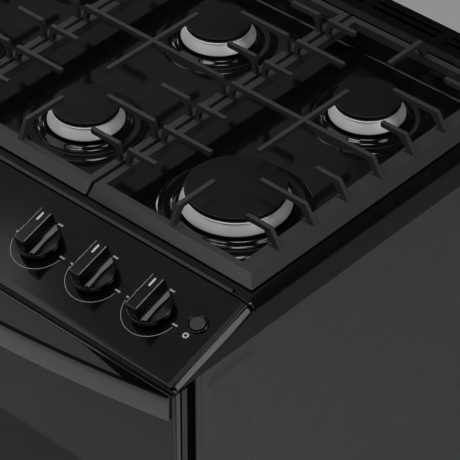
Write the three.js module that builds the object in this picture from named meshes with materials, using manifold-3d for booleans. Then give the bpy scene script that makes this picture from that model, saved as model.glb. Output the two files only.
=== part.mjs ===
// Freestanding gas range, about 760 mm wide: six burners under three cast-iron grates, a sloping
// control panel, an oven with a drop-down door, and a storage drawer. Millimetres, +Z up.
// Origin: centre of the footprint, on the floor. The front faces -Y.
import * as THREE from 'three';
import { mergeVertices } from 'three/addons/utils/BufferGeometryUtils.js';
import Module from 'manifold-3d';

const wasm = await Module();
wasm.setup();

// ---- driving dimensions -----------------------------------------------------------------------
const WIDTH = 760;
const HALF = WIDTH / 2;
const BACK_Y = 352;          // rear face of the back panel
const BODY_FRONT_Y = -274;   // front plane of the cabinet
const DOOR_FRONT_Y = -308;   // front face of the door, drawer and control panel lip
const HANDLE_FRONT_Y = -352; // furthest point of the bowed handle
const SHEET = 1;             // sheet steel thickness
const GAP = 0.3;             // clearance between fitted pieces

const FOOT_HEIGHT = 22;
const BODY_TOP_Z = 859;      // top edge of the side panels, bottom of the cooktop skirt
const RIM_Z = 902.5;         // top of the cooktop rim
const TRAY_Z = 879;          // recessed cooktop floor
const GRATE_Z = 905;         // lower edge of the grate frames
const FINGER_TOP_Z = 940;    // where a pan rests

const GRATE_CENTRE_Y = 64.5;
const GRATE_DEPTH = 467;
const FINGER_PITCH = 57.2;
const ROW_OFFSET = 2 * FINGER_PITCH;   // burners sit under the second and sixth fingers
const COLUMN_X = 234;                  // burner columns at -COLUMN_X, 0 and +COLUMN_X
const GRATE_GAP = 3;
const GRATE_INNER = 116;               // half width of the centre grate
const GRATE_OUTER = 129.6;             // burner column to the outer edge of a side grate

const PANEL_TILT = THREE.MathUtils.degToRad(17.6);
const PANEL_LIP = 5;
const PANEL_SLOPE = 129;
const KNOB_UP = 65;                    // knob centres, measured up the slope from the front lip
const KNOB_PITCH = 84.1;
const KNOB_LAST_X = 289.3;
const BUTTON_X = 345;
const BUTTON_UP = 78;
const KNOB_LIFT = 4.5;                 // clearance under a knob, used up by its push
const KNOB_HEIGHT = 30.5;

const DOOR_BOTTOM_Z = 252;
const DOOR_TOP_Z = 853;
const DOOR_HALF = 378;
const HINGE_Y = -298;
const HINGE_Z = 258;
const HINGE_X = 340;
const DRAWER_BOTTOM_Z = 70;
const DRAWER_TOP_Z = 245;

const CAVITY = { halfX: 302, front: -267.7, back: 215, low: 264, high: 742 };

// ---- colours and finishes -----------------------------------------------------------------------
const finish = (color, roughness, metalness) =>
  () => new THREE.MeshStandardMaterial({ color, roughness, metalness });
const blackEnamel = finish(0x0b0b0c, 0.12, 0);
const castIron = finish(0x2a2a2b, 0.7, 0.1);
const capEnamel = finish(0x1c1c1d, 0.75, 0);
const aluminium = finish(0xb4b4b2, 0.35, 0.9);
const sidePaint = finish(0x2b2b2c, 0.6, 0);
const glossPlastic = finish(0x101011, 0.18, 0);
const blackGlass = finish(0x141415, 0.05, 0);
const darkMetal = finish(0x3a3a3c, 0.4, 0.6);
const galvanised = finish(0x8c8f91, 0.5, 0.8);
const ovenEnamel = finish(0x24262c, 0.3, 0);
const chromeWire = finish(0xc8c8c8, 0.2, 1);
const brass = finish(0xb08d45, 0.35, 0.9);
const rubber = finish(0x191919, 0.9, 0);

// ---- geometry helpers ---------------------------------------------------------------------------
function solid(geometry) {
  const bare = geometry.index ? geometry.toNonIndexed() : geometry.clone();
  bare.deleteAttribute('normal');
  bare.deleteAttribute('uv');
  const merged = mergeVertices(bare, 1e-4);
  return new wasm.Manifold(new wasm.Mesh({
    numProp: 3,
    vertProperties: new Float32Array(merged.attributes.position.array),
    triVerts: new Uint32Array(merged.index.array),
  }));
}

function geometryOf(manifold) {
  const mesh = manifold.getMesh();
  const geometry = new THREE.BufferGeometry();
  geometry.setAttribute('position', new THREE.BufferAttribute(mesh.vertProperties, 3));
  geometry.setIndex(new THREE.BufferAttribute(mesh.triVerts, 1));
  const flat = geometry.toNonIndexed();
  flat.computeVertexNormals();
  return flat;
}

const join = (first, ...rest) => rest.reduce((a, b) => a.add(b), first);
const cut = (first, ...rest) => rest.reduce((a, b) => a.subtract(b), first);

// Box between two corners.
function block(x0, x1, y0, y1, z0, z1) {
  const geometry = new THREE.BoxGeometry(x1 - x0, y1 - y0, z1 - z0);
  geometry.translate((x0 + x1) / 2, (y0 + y1) / 2, (z0 + z1) / 2);
  return solid(geometry);
}

function outline(points) {
  return new THREE.Shape(points.map(([a, b]) => new THREE.Vector2(a, b)));
}

// Extrudes a YZ outline along X, an XZ outline along Y, or an XY outline along Z.
function extrudeX(shape, x0, x1) {
  const geometry = new THREE.ExtrudeGeometry(shape, { depth: x1 - x0, bevelEnabled: false });
  geometry.applyMatrix4(new THREE.Matrix4().set(0, 0, 1, x0, 1, 0, 0, 0, 0, 1, 0, 0, 0, 0, 0, 1));
  return solid(geometry);
}
function extrudeY(shape, y0, y1) {
  const geometry = new THREE.ExtrudeGeometry(shape, { depth: y1 - y0, bevelEnabled: false });
  geometry.applyMatrix4(new THREE.Matrix4().set(1, 0, 0, 0, 0, 0, -1, y1, 0, 1, 0, 0, 0, 0, 0, 1));
  return solid(geometry);
}
function extrudeZ(shape, z0, z1) {
  const geometry = new THREE.ExtrudeGeometry(shape, { depth: z1 - z0, bevelEnabled: false });
  geometry.translate(0, 0, z0);
  return solid(geometry);
}

// Turned piece about a vertical axis at (x, y). The profile is [radius, z] pairs, bottom first.
function turned(profile, segments, x = 0, y = 0) {
  const points = profile.map(([r, z]) => new THREE.Vector2(r, z));
  const geometry = new THREE.LatheGeometry(points, segments);
  geometry.rotateX(Math.PI / 2);
  geometry.translate(x, y, 0);
  return solid(geometry);
}
const rod = (r, z0, z1, segments, x = 0, y = 0) =>
  turned([[0, z0], [r, z0], [r, z1], [0, z1]], segments, x, y);
const rodX = (r, x0, x1, y, z, segments) =>
  rod(r, x0, x1, segments).rotate([0, 90, 0]).translate([0, y, z]);
const rodY = (r, y0, y1, x, z, segments) =>
  rod(r, -y1, -y0, segments).rotate([90, 0, 0]).translate([x, 0, z]);

// Frustum: a rectangle at z0 lofted to another rectangle at z1; each is [x0, x1, y0, y1].
function frustum(low, z0, high, z1) {
  const corner = ([x0, x1, y0, y1], z) => [[x0, y0, z], [x1, y0, z], [x1, y1, z], [x0, y1, z]];
  const geometry = new THREE.BufferGeometry();
  const points = [...corner(low, z0), ...corner(high, z1)].flat();
  geometry.setAttribute('position', new THREE.Float32BufferAttribute(points, 3));
  geometry.setIndex([
    0, 2, 1, 0, 3, 2, 4, 5, 6, 4, 6, 7, 0, 1, 5, 0, 5, 4,
    1, 2, 6, 1, 6, 5, 2, 3, 7, 2, 7, 6, 3, 0, 4, 3, 4, 7,
  ]);
  return solid(geometry);
}

const range = new THREE.Group();
function add(name, material, manifold) {
  const mesh = new THREE.Mesh(geometryOf(manifold), material());
  mesh.name = name;
  range.add(mesh);
  return mesh;
}

// Panel frame: +Z along the outward normal of the sloping panel, at a point up its slope.
const panelPoint = (x, up) => new THREE.Vector3(
  x,
  DOOR_FRONT_Y + up * Math.cos(PANEL_TILT),
  BODY_TOP_Z + PANEL_LIP + up * Math.sin(PANEL_TILT),
);
function onPanel(manifold, x, up) {
  const p = panelPoint(x, up);
  return manifold.rotate([THREE.MathUtils.radToDeg(PANEL_TILT), 0, 0]).translate([p.x, p.y, p.z]);
}
const knobs = [-3, -2, -1, 0, 1, 2, 3].map((i) => ({
  name: ['left_1', 'left_2', 'left_3', 'oven', 'right_1', 'right_2', 'right_3'][i + 3],
  x: i === 0 ? 0 : Math.sign(i) * (KNOB_LAST_X - (3 - Math.abs(i)) * KNOB_PITCH),
}));
const burners = [-1, 0, 1].flatMap((column) => [-1, 1].map((row) => ({
  name: `${['left', 'centre', 'right'][column + 1]}_${row < 0 ? 'front' : 'rear'}`,
  x: column * COLUMN_X,
  y: GRATE_CENTRE_Y + row * ROW_OFFSET,
  large: column === 1 && row < 0,
})));

// ---- cabinet ------------------------------------------------------------------------------------
function makeBaseFrame() {
  const inner = HALF - 2;
  const wall = 2;
  const rail = 40;
  const ring = (by, z0, z1) => cut(
    block(-inner + by, inner - by, -268 + by, 348 - by, z0, z1),
    block(-inner + rail - by, inner - rail + by, -268 + rail - by, 348 - rail + by, z0 - 5, z1 + 5),
  );
  const channel = cut(ring(0, FOOT_HEIGHT + GAP, 60), ring(wall, FOOT_HEIGHT + GAP + wall, 65));
  return cut(channel, ...footPlaces.map(([x, y]) => rod(5.4, 0, 50, 12, x, y)));
}
const footPlaces = [[-355, -245], [355, -245], [-355, 325], [355, 325]];

function makeFoot([x, y]) {
  const top = FOOT_HEIGHT;
  const profile = [
    [0, 0], [19, 0], [20, 6], [9, 11], [8, top], [5, top], [5, 46], [0, 46],
  ];
  return turned(profile, 12, x, y);
}

function makeSidePanel(side) {
  const t = SHEET;
  const returns = 18;
  const back = BACK_Y - 2;
  const points = [
    [HALF, BODY_FRONT_Y], [HALF, back], [HALF - returns, back], [HALF - returns, back - t],
    [HALF - t, back - t], [HALF - t, BODY_FRONT_Y + t], [HALF - returns, BODY_FRONT_Y + t],
    [HALF - returns, BODY_FRONT_Y],
  ];
  const shape = outline(points.map(([x, y]) => [side * x, y]));
  return extrudeZ(shape, FOOT_HEIGHT, BODY_TOP_Z);
}

const INLET = { x: -330, z: 150 };
function makeBackPanel() {
  const slots = [-240, -120, 0, 120, 240].map((x) => block(x - 40, x + 40, 345, 355, 812, 820));
  const inletHole = rodY(34, 345, 355, INLET.x, INLET.z, 20);
  const ribs = [-180, 180].map((x) => frustumBack(x));
  const sheet = join(block(-HALF, HALF, BACK_Y - SHEET, BACK_Y, FOOT_HEIGHT, BODY_TOP_Z), ...ribs);
  return cut(sheet, inletHole, ...slots);
}
// Shallow stiffening rib pressed inward down the back panel.
const frustumBack = (x) => extrudeZ(
  outline([
    [x - 14, BACK_Y - 0.5], [x - 13, BACK_Y - 0.5], [x - 8, BACK_Y - 7], [x + 8, BACK_Y - 7],
    [x + 13, BACK_Y - 0.5], [x + 14, BACK_Y - 0.5], [x + 8.5, BACK_Y - 8], [x - 8.5, BACK_Y - 8],
  ]),
  120, 760,
);

const FRONT_FRAME = { front: BODY_FRONT_Y + SHEET + GAP, back: CAVITY.front - GAP };
function makeFrontFrame() {
  const half = HALF - SHEET - GAP;
  const { front, back } = FRONT_FRAME;
  return cut(
    block(-half, half, front, back, 60 + GAP, BODY_TOP_Z - GAP),
    block(-CAVITY.halfX, CAVITY.halfX, front - 5, back + 5, 300, CAVITY.high),
    block(-342, 342, front - 5, back + 5, 70, 240),
  );
}

// ---- oven ---------------------------------------------------------------------------------------
const RACK_LEVELS = [430, 560];
function makeOvenCavity() {
  const { halfX, front, back, low, high } = CAVITY;
  const t = 1.2;
  const shell = cut(
    block(-halfX - t, halfX + t, front, back + t, low - t, high + t),
    block(-halfX, halfX, front - 5, back, low, high),
  );
  const guides = [-1, 1].flatMap((side) => [...RACK_LEVELS, 310 + 8].map((z) => block(
    Math.min(side * halfX, side * (halfX - 9)), Math.max(side * halfX, side * (halfX - 9)),
    front + 40, back - 10, z - 14, z - 6,
  )));
  const vent = block(-60, 60, back - 60, back - 20, high - 5, high + 5);
  const burnerHole = rodY(14, back - 5, back + 5, 0, 288, 16);
  return cut(join(shell, ...guides), vent, burnerHole);
}

function makeOvenFloor() {
  const half = CAVITY.halfX - 2;
  const slots = [-1, 1].flatMap((side) => [0, 1, 2, 3, 4, 5].map((i) => {
    const x = side * 240;
    const y = CAVITY.front + 60 + i * 68;
    return block(x - 22, x + 22, y, y + 10, 300, 325);
  }));
  const plate = block(-half, half, CAVITY.front + 6, CAVITY.back - 4, 312 + GAP, 314);
  return cut(plate, ...slots);
}

function makeOvenBurner() {
  const tube = cut(
    rodY(16, -190, CAVITY.back - 20, 0, 288, 12),
    rodY(14, -187, CAVITY.back - 10, 0, 288, 12),
  );
  const ports = [0, 1, 2, 3, 4].map((i) => block(-25, 25, -150 + i * 70, -120 + i * 70, 287, 290));
  return cut(tube, ...ports);
}

// Wire rack: a rod frame with a middle rail and thinner rods across it from front to rear.
function makeRack(z) {
  const half = CAVITY.halfX - 3;
  const y0 = CAVITY.front + 12;
  const y1 = CAVITY.back - 12;
  const frameWire = 3;
  const rodWire = 1.8;
  const sides = [-1, 1].map((side) => {
    const x = side * (half - 4);
    return block(x - frameWire, x + frameWire, y0, y1, z - frameWire, z + frameWire);
  });
  const rails = [y0 + frameWire, (y0 + y1) / 2, y1 - frameWire].map((y) => block(
    -half + 4, half - 4, y - frameWire, y + frameWire, z - frameWire, z + frameWire,
  ));
  const count = 15;
  const spacing = (2 * half - 60) / (count - 1);
  const wires = Array.from({ length: count }, (_, i) => {
    const x = -half + 30 + i * spacing;
    return block(x - rodWire, x + rodWire, y0 + frameWire, y1 - frameWire, z, z + 2 * rodWire);
  });
  return join(sides[0], sides[1], ...rails, ...wires);
}

// ---- cooktop and grates -------------------------------------------------------------------------
const COOKTOP = { front: -184.7, back: 302, shoulder: 9 };
function makeCooktop() {
  const { front, back, shoulder: r } = COOKTOP;
  const half = HALF;
  const section = (h, top, radius) => {
    const shape = new THREE.Shape();
    shape.moveTo(-h, BODY_TOP_Z + GAP);
    shape.lineTo(h, BODY_TOP_Z + GAP);
    shape.lineTo(h, top - radius);
    shape.absarc(h - radius, top - radius, radius, 0, Math.PI / 2, false);
    shape.lineTo(-h + radius, top);
    shape.absarc(-h + radius, top - radius, radius, Math.PI / 2, Math.PI, false);
    return shape;
  };
  const smooth = (shape) => outline(shape.getPoints(4).map((p) => [p.x, p.y]));
  const outer = extrudeY(smooth(section(half, RIM_Z, r)), front, back);
  const t = 1.5;
  const hollow = extrudeY(smooth(section(half - t, RIM_Z - t, r - t)), front + t, back - t)
    .translate([0, 0, -GAP - 1]);
  const lowRect = [-338, 338, GRATE_CENTRE_Y - 205, GRATE_CENTRE_Y + 205];
  const grow = ([x0, x1, y0, y1], by) => [x0 - by, x1 + by, y0 - by, y1 + by];
  const pan = frustum(grow(lowRect, t), TRAY_Z - t, grow(lowRect, 14 + t), RIM_Z);
  const recess = frustum(lowRect, TRAY_Z, grow(lowRect, 15), RIM_Z + 2);
  const shell = cut(join(cut(outer, hollow), pan.intersect(outer)), recess);
  return cut(shell, ...burners.map((b) => rod(25, TRAY_Z - 8, TRAY_Z + 8, 24, b.x, b.y)));
}

const burnerSize = (burner) => (burner.large ? { cap: 58.5, ring: 64.2 } : { cap: 40, ring: 45.8 });
function makeBurnerHead(burner) {
  const { cap, ring } = burnerSize(burner);
  const bore = 9;
  const profile = [
    [bore, 866], [22, 866], [22, TRAY_Z + GAP], [ring - 13, TRAY_Z + GAP], [ring - 11, 888],
    [ring, 889.5], [cap - 1, 903.4], [bore, 903.4], [bore, 866],
  ];
  return turned(profile, burner.large ? 28 : 20, burner.x, burner.y);
}
function makeBurnerCap(burner) {
  const { cap } = burnerSize(burner);
  const profile = [
    [0, 903.7], [cap - 2, 903.7], [cap, 905], [cap, 908.5], [cap - 1.4, 910], [0, 910],
  ];
  return turned(profile, burner.large ? 28 : 20, burner.x, burner.y);
}

const FRAME_TOP = 11.5;      // height of a grate frame above its lower edge
const FRAME_SLOPE = 11;      // how far an outer edge leans in over that height
const BAR_TOP = { outer: 19.5, inner: 9.5, end: 8.5 }; // flat top width of the frame bars
const LEAN = { outer: 16, inner: 5, end: 12 };         // how far a finger's leg leans inward
const FINGER = { width: 5.6, depth: 6.4 };
const LONG_TIP = 37;         // from the burner column to the tips of the long and short fingers
const SHORT_TIP = 67.6;
const END_FINGER = 82.5;     // tip of the front and rear fingers, from the frame's lower edge
const SPINE_REACH = 77.3;    // half length of the bar along each grate's middle
// Finger lying along +X from x = 0, the outer top edge of its bar: a leg that rises while it leans
// in by `lean`, then level out to `reach`. A low rib runs from the leg to the inner edge of the bar.
function finger(lean, bar, reach) {
  const top = FINGER_TOP_Z - GRATE_Z;
  const { width, depth } = FINGER;
  const shape = outline([
    [1, FRAME_TOP - 5], [6, FRAME_TOP - 5], [lean + 4, top - depth - 5], [lean + 9, top - depth],
    [reach - 1.5, top - depth], [reach, top - depth + 1.5], [reach, top], [lean, top],
    [1, FRAME_TOP],
  ]);
  const rib = outline([
    [4, FRAME_TOP - 5], [bar, FRAME_TOP - 5], [bar, FRAME_TOP + 1], [8, FRAME_TOP + 4],
  ]);
  return join(extrudeY(shape, -width / 2, width / 2), extrudeY(rib, -width / 2, width / 2));
}
// left and right are the distances from the burner column to the frame's edges. An edge that is
// outer slopes outward, and an edge that faces its neighbour is upright.
function makeGrate(centreX, left, right, slopeLeft, slopeRight) {
  const depth = GRATE_DEPTH / 2;
  const kind = (sloped) => (sloped ? 'outer' : 'inner');
  const inset = (sloped) => (sloped ? FRAME_SLOPE : 1);
  const low = [-left, right, -depth, depth];
  const high = [
    -left + inset(slopeLeft), right - inset(slopeRight), -depth + FRAME_SLOPE, depth - FRAME_SLOPE,
  ];
  const bars = [BAR_TOP[kind(slopeLeft)], BAR_TOP[kind(slopeRight)]];
  const inner = [high[0] + bars[0], high[1] - bars[1], high[2] + BAR_TOP.end, high[3] - BAR_TOP.end];
  const ring = cut(
    frustum(low, 0, high, FRAME_TOP),
    frustum(inner, -1, inner, FRAME_TOP + 1),
  );
  const pair = (y, tip) => [
    finger(LEAN[kind(slopeLeft)], bars[0], -high[0] - tip).translate([high[0], y, 0]),
    finger(LEAN[kind(slopeRight)], bars[1], high[1] - tip).rotate([0, 0, 180])
      .translate([high[1], y, 0]),
  ];
  const tips = [SHORT_TIP, LONG_TIP, SHORT_TIP, -1, SHORT_TIP, LONG_TIP, SHORT_TIP];
  const fingers = tips.flatMap((tip, i) => pair((i - 3) * FINGER_PITCH, tip));
  const ends = [-1, 1].map((side) => finger(LEAN.end, BAR_TOP.end, END_FINGER - FRAME_SLOPE)
    .rotate([0, 0, -90 * side])
    .translate([0, side * high[3], 0]));
  const top = FINGER_TOP_Z - GRATE_Z;
  const half = FINGER.width / 2;
  const spine = block(-half, half, -SPINE_REACH, SPINE_REACH, top - FINGER.depth, top);
  const feet = [[low[0] + 9, -1], [low[1] - 9, -1], [low[0] + 9, 1], [low[1] - 9, 1]]
    .map(([x, side]) => block(x - 5, x + 5, side * (depth - 9) - 5, side * (depth - 9) + 5,
      RIM_Z - GRATE_Z + GAP, 4));
  return join(ring, ...fingers, ...ends, spine, ...feet)
    .translate([centreX, GRATE_CENTRE_Y, GRATE_Z]);
}

// Low vent trim behind the grates: a hollow cover with a chamfered front edge and a slotted top.
function makeRearTrim() {
  const y0 = COOKTOP.back + GAP;
  const y1 = BACK_Y;
  const top = 911;
  const chamfer = 6;
  const low = BODY_TOP_Z + GAP;
  const section = (t) => outline([
    [y0 + t, low - t * 2], [y1 - t, low - t * 2], [y1 - t, top - t], [y0 + chamfer, top - t],
    [y0 + t, top - chamfer],
  ]);
  const cover = cut(extrudeX(section(0), -HALF, HALF), extrudeX(section(1.8), -HALF + 2, HALF - 2));
  const slots = [-280, -168, -56, 56, 168, 280].flatMap((x) => [0, 1].map((i) => block(
    x - 48, x + 48, y0 + 22 + i * 12, y0 + 27 + i * 12, top - 10, top + 5,
  )));
  return cut(cover, ...slots);
}

// ---- control panel ------------------------------------------------------------------------------
function makeControlPanel() {
  const rear = DOOR_FRONT_Y + PANEL_SLOPE * Math.cos(PANEL_TILT);
  const low = BODY_TOP_Z;
  const lip = low + PANEL_LIP;
  const top = lip + PANEL_SLOPE * Math.sin(PANEL_TILT);
  const skin = outline([
    [DOOR_FRONT_Y + 2, low], [rear, low], [rear, top], [DOOR_FRONT_Y + 4, lip + 1.2],
    [DOOR_FRONT_Y, lip - 2], [DOOR_FRONT_Y, low + 2],
  ]);
  const hollow = outline([
    [BODY_FRONT_Y + 3, low - 1], [rear - 2, low - 1], [rear - 2, top - 3],
    [BODY_FRONT_Y + 3, lip + 8],
  ]);
  const body = cut(extrudeX(skin, -HALF, HALF), extrudeX(hollow, -HALF + 2, HALF - 2));
  const stemHoles = knobs.map((k) => onPanel(rod(6, -20, 10, 16), k.x, KNOB_UP));
  const buttonHole = onPanel(rod(10.4, -20, 10, 16), BUTTON_X, BUTTON_UP);
  return cut(body, ...stemHoles, buttonHole);
}

const VALVE = { top: -6, bottom: -46, boreBottom: -30 };
function makeGasManifold() {
  const axis = panelPoint(0, KNOB_UP);
  const down = VALVE.bottom - 8;
  const pipeY = axis.y - down * Math.sin(PANEL_TILT);
  const pipeZ = axis.z + down * Math.cos(PANEL_TILT);
  const pipe = rodX(11, -320, 330, pipeY, pipeZ, 10);
  const pipeBore = rodX(8, -316, 335, pipeY, pipeZ, 8);
  const bodies = knobs.map((k) => onPanel(rod(13, VALVE.bottom, VALVE.top, 8), k.x, KNOB_UP));
  const bores = knobs.map((k) => onPanel(rod(4.6, VALVE.boreBottom, 5, 8), k.x, KNOB_UP));
  return cut(join(pipe, ...bodies), pipeBore, ...bores);
}
function makeValveStem(knob) {
  return onPanel(rod(4, -26, KNOB_LIFT + 17, 8), knob.x, KNOB_UP);
}
// Knob: a round skirt that widens to a rim, a shallow cone over it and a straight grip ridge.
function makeKnob(knob) {
  const z = KNOB_LIFT;
  const barrel = turned([
    [0, z], [24.5, z], [26, z + 5], [26, z + 6.5], [24.5, z + 7.5], [12, z + 9.5], [0, z + 9.5],
  ], 16);
  const ridge = frustum([-9, 9, -24.2, 24.2], z + 5, [-7.8, 7.8, -23.4, 23.7], z + KNOB_HEIGHT);
  const bore = rod(4.6, z - 5, z + 18.5, 8);
  return onPanel(cut(join(barrel, ridge), bore), knob.x, KNOB_UP);
}
function makeBezel() {
  const profile = [
    [9.6, -4], [10.1, -4], [10.1, GAP], [12, GAP], [12, 1.6], [11, 2.6], [9.6, 2.6], [9.6, -4],
  ];
  return onPanel(turned(profile, 16), BUTTON_X, BUTTON_UP);
}
function makeButton() {
  const profile = [[0, -6], [9.2, -6], [9.2, 3.6], [8.4, 4.4], [0, 4.4]];
  return onPanel(turned(profile, 16), BUTTON_X, BUTTON_UP);
}

// Supply pipe: from the threaded inlet in the back panel, up the left rear corner and forward.
function makeGasSupply() {
  const route = new THREE.CurvePath();
  const manifold = panelPoint(0, KNOB_UP);
  const endY = manifold.y + 40;
  const endZ = manifold.z - 50;
  const bend = 30;
  const p = (y, z) => new THREE.Vector3(INLET.x - 18, y, z);
  const rear = 318;
  route.add(new THREE.LineCurve3(p(rear, INLET.z + 14), p(rear, endZ - bend)));
  route.add(new THREE.QuadraticBezierCurve3(p(rear, endZ - bend), p(rear, endZ), p(rear - bend, endZ)));
  route.add(new THREE.LineCurve3(p(rear - bend, endZ), p(endY, endZ)));
  const section = new THREE.Shape();
  section.absarc(0, 0, 7, 0, 2 * Math.PI);
  const flat = outline(section.getPoints(6).slice(0, -1).map((q) => [q.x, q.y]));
  const pipe = solid(new THREE.ExtrudeGeometry(flat, { steps: 14, extrudePath: route }));
  const regulator = join(
    block(INLET.x - 34, INLET.x + 22, rear - 16, rear + 8, INLET.z - 24, INLET.z + 24),
    rodY(13, rear, BACK_Y - 2, INLET.x, INLET.z, 6),
  );
  return join(pipe, cut(regulator, rodY(8, rear + 12, BACK_Y + 5, INLET.x, INLET.z, 12)));
}

// ---- door ---------------------------------------------------------------------------------------
const WINDOW = { half: 250, low: 400, high: 690 };
const DOOR_SKIN = { glassBack: DOOR_FRONT_Y + 4, frameBack: -280, linerBack: -278.5 };
function hingeNotches() {
  return [-1, 1].map((side) => block(
    side * HINGE_X - 5, side * HINGE_X + 5, HINGE_Y - 8, -270, DOOR_BOTTOM_Z - 5, DOOR_BOTTOM_Z + 26,
  ));
}
function makeDoorFrame() {
  const front = DOOR_SKIN.glassBack + GAP;
  const back = DOOR_SKIN.frameBack;
  const wall = 3;
  const outer = block(-DOOR_HALF, DOOR_HALF, front, back, DOOR_BOTTOM_Z, DOOR_TOP_Z);
  const hollow = block(
    -DOOR_HALF + wall, DOOR_HALF - wall, front + 1, back + 5, DOOR_BOTTOM_Z + wall, DOOR_TOP_Z - wall,
  );
  const hingeBlocks = [-1, 1].map((side) => block(
    side * HINGE_X - 20, side * HINGE_X + 20, front, back, DOOR_BOTTOM_Z, DOOR_BOTTOM_Z + 32,
  ));
  const view = block(-WINDOW.half, WINDOW.half, front - 5, back, WINDOW.low, WINDOW.high);
  const pins = [-1, 1].map((side) => rodX(
    4.5, side * HINGE_X - 14, side * HINGE_X + 14, HINGE_Y, HINGE_Z, 12,
  ));
  const shell = join(cut(outer, hollow, view), ...hingeBlocks);
  return cut(shell, ...hingeNotches(), ...pins);
}
function makeDoorGlass() {
  return frustum(
    [-DOOR_HALF, DOOR_HALF, DOOR_BOTTOM_Z, DOOR_TOP_Z], -DOOR_SKIN.glassBack,
    [-DOOR_HALF + 2, DOOR_HALF - 2, DOOR_BOTTOM_Z + 2, DOOR_TOP_Z - 2], -DOOR_FRONT_Y,
  ).rotate([90, 0, 0]);
}
function makeDoorLiner() {
  const front = DOOR_SKIN.frameBack + GAP;
  const back = DOOR_SKIN.linerBack;
  const sheet = block(-DOOR_HALF + 6, DOOR_HALF - 6, front, back, DOOR_BOTTOM_Z + 6, DOOR_TOP_Z - 6);
  const view = block(
    -WINDOW.half + 20, WINDOW.half - 20, front - 5, back + 5, WINDOW.low + 20, WINDOW.high - 20,
  );
  return cut(sheet, view, ...hingeNotches());
}
function makeDoorInnerGlass() {
  return block(
    -WINDOW.half + 8, WINDOW.half - 8, DOOR_SKIN.frameBack - 5, DOOR_SKIN.frameBack,
    WINDOW.low + 8, WINDOW.high - 8,
  );
}
function makeDoorGasket() {
  const y0 = DOOR_SKIN.linerBack + GAP;
  const y1 = FRONT_FRAME.front - GAP;
  const half = CAVITY.halfX + 22;
  return cut(
    block(-half, half, y0, y1, 284, CAVITY.high + 20),
    block(-half + 10, half - 10, y0 - 5, y1 + 5, 294, CAVITY.high + 10),
  );
}
// Full-width bowed handle: a flat strip bent into a shallow arc, meeting the door at both ends.
const HANDLE = { low: 818, high: 851, thickness: 5, segments: 20 };
function makeDoorHandle() {
  const face = DOOR_FRONT_Y - GAP;
  const bow = face - HANDLE_FRONT_Y;
  const xs = Array.from({ length: HANDLE.segments + 1 }, (_, i) => (
    DOOR_HALF * (2 * i / HANDLE.segments - 1)
  ));
  const outerY = (x) => face - 3 - (bow - 3) * (1 - (x / DOOR_HALF) ** 2);
  const innerY = (x) => Math.min(face, outerY(x) + HANDLE.thickness);
  const points = [
    ...xs.map((x) => [x, outerY(x)]),
    ...xs.slice().reverse().map((x) => [x, innerY(x)]),
  ];
  return extrudeZ(outline(points), HANDLE.low, HANDLE.high);
}
// Hinge: an arm fixed to the cabinet front, with a cross pin that the door turns on.
function makeDoorHinge(side) {
  const x = side * HINGE_X;
  const arm = block(x - 3, x + 3, HINGE_Y - 4, -274.5, HINGE_Z - 4, HINGE_Z + 4);
  const plate = block(x - 8, x + 8, -274.5, FRONT_FRAME.front - GAP, HINGE_Z - 9, HINGE_Z + 22);
  return join(arm, plate, rodX(4, x - 13, x + 13, HINGE_Y, HINGE_Z, 12));
}

// ---- drawer -------------------------------------------------------------------------------------
function makeDrawerFront() {
  const back = BODY_FRONT_Y - 2;
  const wall = 2;
  const panel = cut(
    block(-DOOR_HALF, DOOR_HALF, DOOR_FRONT_Y, back, DRAWER_BOTTOM_Z, DRAWER_TOP_Z),
    block(
      -DOOR_HALF + wall, DOOR_HALF - wall, DOOR_FRONT_Y + wall, back + 5,
      DRAWER_BOTTOM_Z + wall, DRAWER_TOP_Z - wall,
    ),
  );
  const pocket = block(
    -152, 152, DOOR_FRONT_Y + 1, DOOR_FRONT_Y + 16, DRAWER_TOP_Z - 27, DRAWER_TOP_Z - 1,
  );
  const grip = extrudeX(outline([
    [DOOR_FRONT_Y - 2, DRAWER_TOP_Z - 26], [DOOR_FRONT_Y + 14, DRAWER_TOP_Z - 22],
    [DOOR_FRONT_Y + 14, DRAWER_TOP_Z - 6], [DOOR_FRONT_Y - 2, DRAWER_TOP_Z - 6],
  ]), -150, 150);
  return cut(join(panel, pocket), grip);
}
const DRAWER = { half: 334, back: 240, low: 78, high: 205 };
function makeDrawerBox() {
  const { half, back, low, high } = DRAWER;
  const front = BODY_FRONT_Y - 2 + GAP;
  return cut(
    block(-half, half, front, back, low, high),
    block(-half + SHEET, half - SHEET, front + SHEET, back - SHEET, low + SHEET, high + 5),
  );
}

// ---- assembly -----------------------------------------------------------------------------------
add('base_frame', galvanised, makeBaseFrame());
['front_left', 'front_right', 'rear_left', 'rear_right'].forEach((place, i) => {
  add(`foot_${place}`, rubber, makeFoot(footPlaces[i]));
});
add('side_panel_left', sidePaint, makeSidePanel(-1));
add('side_panel_right', sidePaint, makeSidePanel(1));
add('back_panel', galvanised, makeBackPanel());
add('front_frame', blackEnamel, makeFrontFrame());

add('oven_cavity', ovenEnamel, makeOvenCavity());
add('oven_floor', ovenEnamel, makeOvenFloor());
add('oven_burner', darkMetal, makeOvenBurner());
add('oven_rack_lower', chromeWire, makeRack(RACK_LEVELS[0]));
add('oven_rack_upper', chromeWire, makeRack(RACK_LEVELS[1]));

add('cooktop', blackEnamel, makeCooktop());
add('rear_trim', blackEnamel, makeRearTrim());
burners.forEach((burner) => {
  add(`burner_head_${burner.name}`, aluminium, makeBurnerHead(burner));
  add(`burner_cap_${burner.name}`, capEnamel, makeBurnerCap(burner));
});
const sideInner = COLUMN_X - GRATE_INNER - GRATE_GAP;
add('grate_left', castIron, makeGrate(-COLUMN_X, GRATE_OUTER, sideInner, true, false));
add('grate_centre', castIron, makeGrate(0, GRATE_INNER, GRATE_INNER, false, false));
add('grate_right', castIron, makeGrate(COLUMN_X, sideInner, GRATE_OUTER, false, true));

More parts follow.
